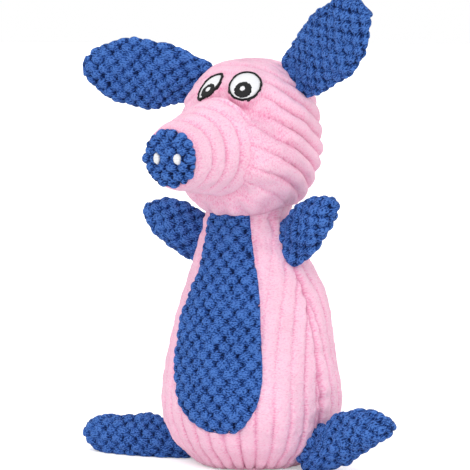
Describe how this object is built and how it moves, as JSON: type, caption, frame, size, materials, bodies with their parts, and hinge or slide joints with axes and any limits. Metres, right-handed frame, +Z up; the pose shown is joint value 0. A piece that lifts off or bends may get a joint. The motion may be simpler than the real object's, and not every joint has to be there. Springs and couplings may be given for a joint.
{
  "type": "squeaky dog toy",
  "caption": "Stuffed plush pig dog toy that stands on a flat base, with a squeaker in its body and a head, ears, arms and feet that flex at their seams.",
  "frame": {"origin": "middle of the flat base that the toy stands on", "axes": "+Z up, -Y the way the pig faces, +X the pig's own left"},
  "size_m": [0.2304, 0.1612, 0.2972],
  "materials": {
    "pink_plush": "wide-wale plush pile",
    "blue_plush": "bobble plush pile",
    "white_thread": "satin stitch",
    "black_thread": "satin stitch",
    "fibre_filling": "loose polyester fibre",
    "soft_plastic": "moulded soft plastic"
  },
  "bodies": {
    "body": {"body_cover": "pink_plush", "belly_panel": "blue_plush", "base_panel": "pink_plush", "body_filling_front": "fibre_filling", "body_filling_back": "fibre_filling", "squeaker_back": "soft_plastic", "squeaker_folding_wall": "soft_plastic", "whistle_plug": "soft_plastic", "whistle_reed": "soft_plastic"},
    "squeaker_face": {"squeaker_face": "soft_plastic"},
    "neck": {"neck_filling": "fibre_filling"},
    "head": {"head_cover": "pink_plush", "head_filling": "fibre_filling", "snout_cover": "pink_plush", "snout_filling": "fibre_filling", "nose_disc": "blue_plush", "nostril_left": "white_thread", "nostril_right": "white_thread", "eye_outline_left": "black_thread", "eye_white_left": "white_thread", "eye_pupil_left": "black_thread", "eye_glint_left": "white_thread", "eye_outline_right": "black_thread", "eye_white_right": "white_thread", "eye_pupil_right": "black_thread", "eye_glint_right": "white_thread"},
    "ear_left": {"ear_left": "blue_plush"},
    "ear_right": {"ear_right": "blue_plush"},
    "arm_left": {"arm_left_cover": "blue_plush", "arm_left_filling": "fibre_filling"},
    "arm_right": {"arm_right_cover": "blue_plush", "arm_right_filling": "fibre_filling"},
    "foot_left": {"foot_left_cover": "blue_plush", "foot_left_filling": "fibre_filling"},
    "foot_right": {"foot_right_cover": "blue_plush", "foot_right_filling": "fibre_filling"}
  },
  "joints": [
    {"name": "squeaker_press", "type": "slide", "parent": "body", "child": "squeaker_face", "axis": [0, 1, 0], "range_m": [0, 0.008], "stiffness_N_per_m": 500, "deforming": ["squeaker_folding_wall"]},
    {"name": "head_turn", "type": "hinge", "parent": "body", "child": "neck", "pos_m": [0, 0, 0.168], "axis": [0, 0, 1], "range_deg": [-15, 15], "stiffness_Nm_per_rad": 0.6},
    {"name": "head_nod", "type": "hinge", "parent": "neck", "child": "head", "pos_m": [0, 0, 0.168], "axis": [1, 0, 0], "range_deg": [-10, 10], "stiffness_Nm_per_rad": 0.6},
    {"name": "ear_left_flap", "type": "hinge", "parent": "head", "child": "ear_left", "pos_m": [0.03843, -0.00074, 0.24498], "axis": [-0.5427, 0, 0.8399], "range_deg": [-35, 35], "stiffness_Nm_per_rad": 0.1},
    {"name": "ear_right_flap", "type": "hinge", "parent": "head", "child": "ear_right", "pos_m": [-0.03843, -0.00074, 0.24498], "axis": [0.5427, 0, 0.8399], "range_deg": [-35, 35], "stiffness_Nm_per_rad": 0.1},
    {"name": "arm_left_flap", "type": "hinge", "parent": "body", "child": "arm_left", "pos_m": [0.03533, -0.00881, 0.14644], "axis": [-0.3477, 0.0867, 0.9336], "range_deg": [-25, 25], "stiffness_Nm_per_rad": 0.15},
    {"name": "arm_right_flap", "type": "hinge", "parent": "body", "child": "arm_right", "pos_m": [-0.03533, -0.00881, 0.14644], "axis": [0.3477, 0.0867, 0.9336], "range_deg": [-25, 25], "stiffness_Nm_per_rad": 0.15},
    {"name": "foot_left_flap", "type": "hinge", "parent": "body", "child": "foot_left", "pos_m": [0.05396, -0.00855, 0.01041], "axis": [0.4174, -0.0661, 0.9063], "range_deg": [-20, 20], "stiffness_Nm_per_rad": 0.2},
    {"name": "foot_right_flap", "type": "hinge", "parent": "body", "child": "foot_right", "pos_m": [-0.05396, -0.00855, 0.01041], "axis": [-0.4174, -0.0661, 0.9063], "range_deg": [-20, 20], "stiffness_Nm_per_rad": 0.2}
  ]
}
